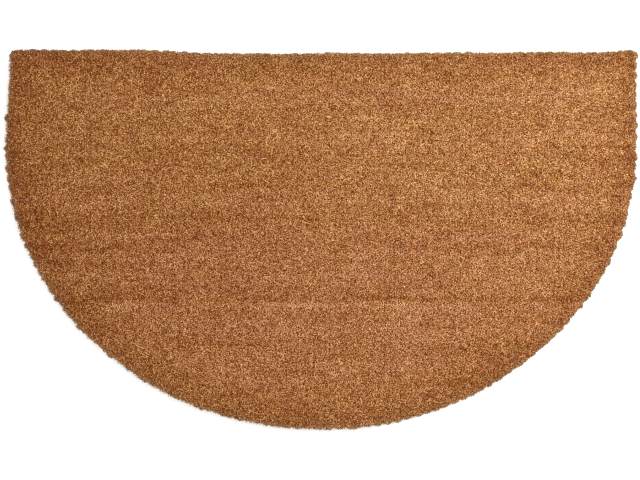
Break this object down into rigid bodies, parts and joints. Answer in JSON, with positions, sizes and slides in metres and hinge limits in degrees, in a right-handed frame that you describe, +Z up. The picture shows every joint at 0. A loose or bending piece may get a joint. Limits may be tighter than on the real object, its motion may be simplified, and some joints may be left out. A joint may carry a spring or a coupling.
{
  "type": "doormat",
  "caption": "Half-round plain coir doormat with a shorn upright pile and an unbound cut edge, laid flat to wipe shoes on.",
  "frame": {"origin": "centre of the mat's bounding box at the underside, where it lies on the floor", "axes": "+X runs along the straight edge, +Y points from the bowed edge to the straight edge, +Z points up out of the pile"},
  "size_m": [0.752, 0.4522, 0.016],
  "materials": {
    "coir": "natural coir pile, shorn, dry and matt"
  },
  "bodies": {
    "root": {"coir_mat": "coir"}
  },
  "joints": []
}
